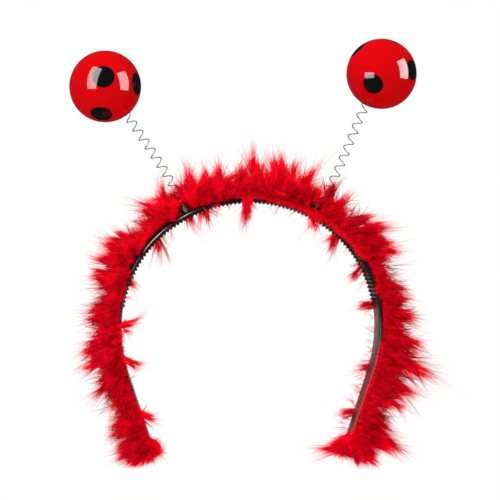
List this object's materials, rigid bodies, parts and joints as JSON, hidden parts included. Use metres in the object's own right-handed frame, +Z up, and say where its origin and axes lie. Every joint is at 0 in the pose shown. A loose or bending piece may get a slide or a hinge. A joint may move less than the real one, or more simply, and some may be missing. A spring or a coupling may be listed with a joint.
{
  "type": "ladybird head bopper",
  "caption": "Costume head bopper: toothed plastic headband trimmed with fluffy red feather, carrying black-spotted red balls on wire springs.",
  "frame": {"origin": "middle of the headband's inner face at its crown, where it sits on the head", "axes": "+Z up, +X to the wearer's left as seen from the front (to the right in a front view), +Y to the back; the arch lies in the X-Z plane"},
  "size_m": [0.1913, 0.0469, 0.2195],
  "materials": {
    "black_plastic": "glossy moulded",
    "red_feather": "soft, fluffy",
    "steel_wire": "bright drawn wire",
    "red_plastic": "high gloss with printed black spots"
  },
  "bodies": {
    "root": {"headband": "black_plastic", "feather_trim": "red_feather", "left_spring": "steel_wire", "right_spring": "steel_wire", "left_ball": "red_plastic", "right_ball": "red_plastic"}
  },
  "joints": []
}
